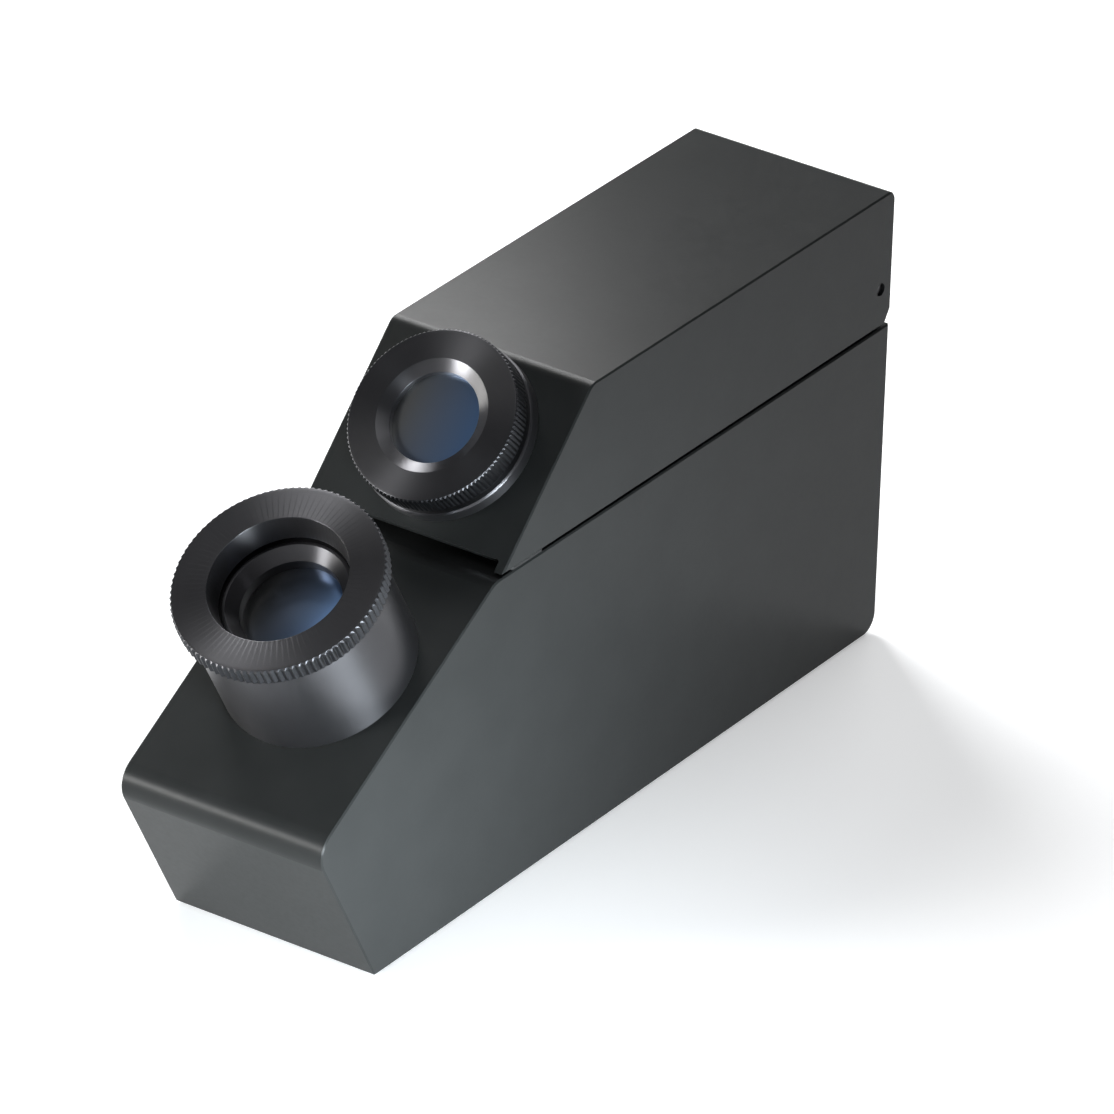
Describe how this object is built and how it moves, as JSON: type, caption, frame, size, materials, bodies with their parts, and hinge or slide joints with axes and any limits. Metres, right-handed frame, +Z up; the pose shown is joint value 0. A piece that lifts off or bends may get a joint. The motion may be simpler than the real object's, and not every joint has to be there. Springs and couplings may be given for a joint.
{
  "type": "gem refractometer",
  "caption": "Wedge-shaped bench refractometer with a hinged lid over its stage, a focusing eyepiece and a parked rotating filter",
  "frame": {"origin": "centre of the bounding box's bottom face, on the surface that the rubber feet stand on", "axes": "+Z up; +Y from the eyepiece end towards the rear light port; +X to the user's right"},
  "size_m": [0.045, 0.1851, 0.101],
  "materials": {
    "housing_paint": "satin",
    "plate_paint": "matte",
    "black_anodised": "satin",
    "bare_aluminium": "satin",
    "screw_steel": "satin",
    "rubber": "matte",
    "coated_glass": "polished",
    "prism_glass": "polished",
    "scale_glass": "polished",
    "frosted_glass": "frosted",
    "yellow_glass": "polished",
    "mirror": "polished"
  },
  "bodies": {
    "base": {"base_housing": "housing_paint", "bottom_plate": "plate_paint", "bottom_screws": "screw_steel", "rubber_feet": "rubber", "stage_plate": "plate_paint", "stage_screws": "screw_steel", "measuring_prism": "prism_glass", "prism_cell": "black_anodised", "eyepiece_barrel": "black_anodised", "barrel_lock_ring": "black_anodised", "scale_glass": "scale_glass", "scale_retaining_ring": "black_anodised", "ring_retaining_screw": "screw_steel", "focus_key_screw": "screw_steel", "optics_rail": "bare_aluminium", "rail_screws": "screw_steel", "mirror_bracket": "bare_aluminium", "mirror": "mirror", "lens_holder": "black_anodised", "objective_lens": "coated_glass", "objective_retaining_ring": "black_anodised", "light_port_ring": "black_anodised", "frosted_window": "frosted_glass", "yellow_filter": "yellow_glass", "window_retaining_ring": "black_anodised", "port_nut": "black_anodised", "hinge_block": "plate_paint", "hinge_screws": "screw_steel", "hinge_pins": "screw_steel"},
    "focus_ring": {"focus_ring": "black_anodised"},
    "lens_cell": {"lens_cell": "black_anodised", "eye_lens": "coated_glass", "eye_lens_retainer": "black_anodised", "field_lens": "coated_glass", "field_lens_retainer": "black_anodised"},
    "lid": {"lid_shell": "housing_paint", "lid_bumpers": "rubber", "filter_stub": "black_anodised", "stub_nut": "black_anodised"},
    "filter_cap": {"filter_collar": "black_anodised", "snap_ring": "screw_steel"},
    "filter_ring": {"filter_ring": "black_anodised", "polariser_glass": "coated_glass", "glass_retainer": "black_anodised"}
  },
  "joints": [
    {"name": "lid_hinge", "type": "hinge", "parent": "base", "child": "lid", "pos_m": [0, 0.08871, 0.0751], "axis": [-1, 0, 0], "range_deg": [0, 105]},
    {"name": "focus_turn", "type": "hinge", "parent": "base", "child": "focus_ring", "pos_m": [0, -0.06156, 0.05278], "axis": [0, -0.5078, 0.8615], "range_deg": [-210, 30]},
    {"name": "lens_slide", "type": "slide", "parent": "base", "child": "lens_cell", "axis": [0, -0.5078, 0.8615], "range_m": [-0.0035, 0.0005]},
    {"name": "filter_pull", "type": "slide", "parent": "lid", "child": "filter_cap", "axis": [0, -0.7109, 0.7033], "range_m": [0, 0.014]},
    {"name": "filter_turn", "type": "hinge", "parent": "filter_cap", "child": "filter_ring", "pos_m": [0, -0.02086, 0.0826], "axis": [0, -0.7109, 0.7033], "continuous": true}
  ],
  "couplings": [
    {"joint": "lens_slide", "follows": "focus_turn", "m_per_rad": 0.00095492}
  ]
}
